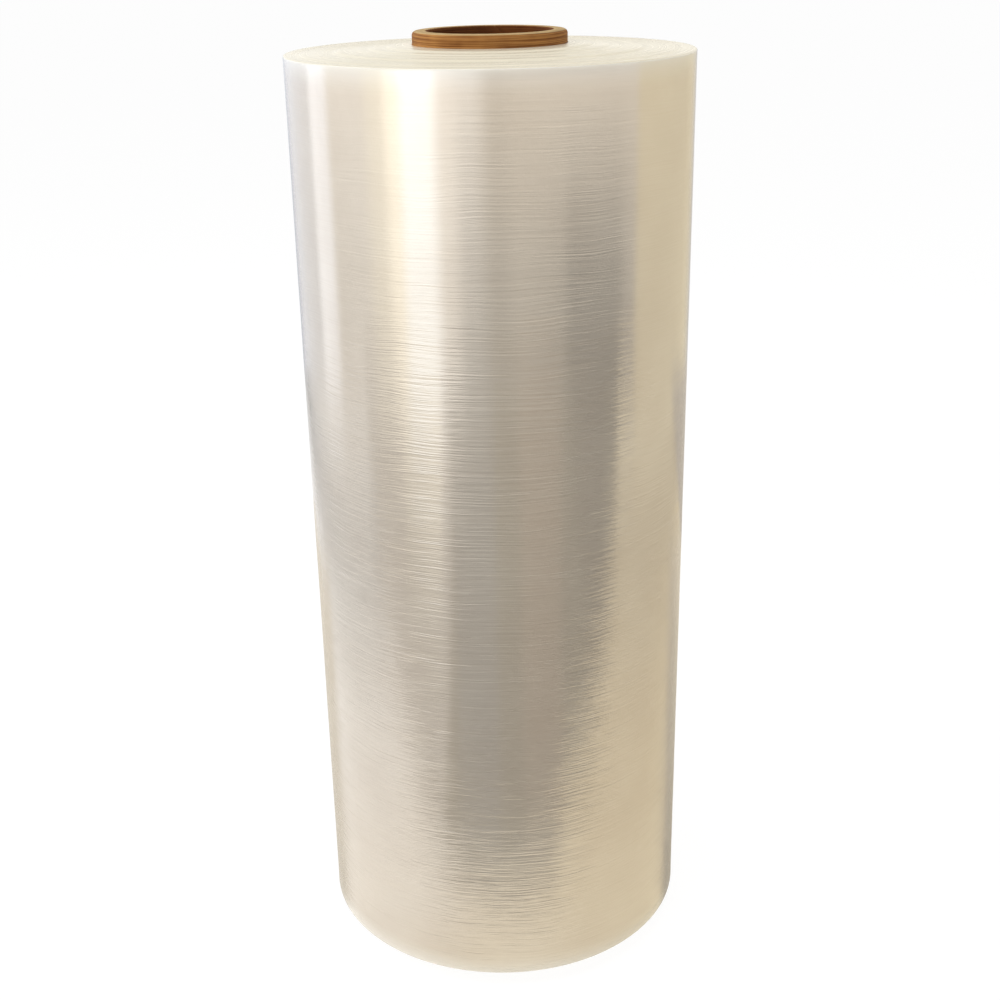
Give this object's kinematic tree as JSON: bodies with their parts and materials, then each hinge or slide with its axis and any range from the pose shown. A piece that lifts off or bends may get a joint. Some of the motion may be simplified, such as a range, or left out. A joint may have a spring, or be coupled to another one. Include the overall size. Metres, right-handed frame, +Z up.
{
  "type": "stretch wrap roll",
  "caption": "Machine roll of clear stretch film wound tight on an open paperboard core, standing on end.",
  "frame": {"origin": "centre of the core's lower end, on the surface that the roll stands on", "axes": "+Z up along the roll's axis; the picture looks along +Y from above"},
  "size_m": [0.2119, 0.212, 0.52],
  "materials": {
    "paperboard": "brown spirally wound paperboard, matt, with fine ply lines and a paler cut edge",
    "film": "clear glossy stretch film, milky where the turns add up, with fine wrinkles around the roll"
  },
  "bodies": {
    "root": {"core_tube": "paperboard", "film_roll": "film"}
  },
  "joints": []
}
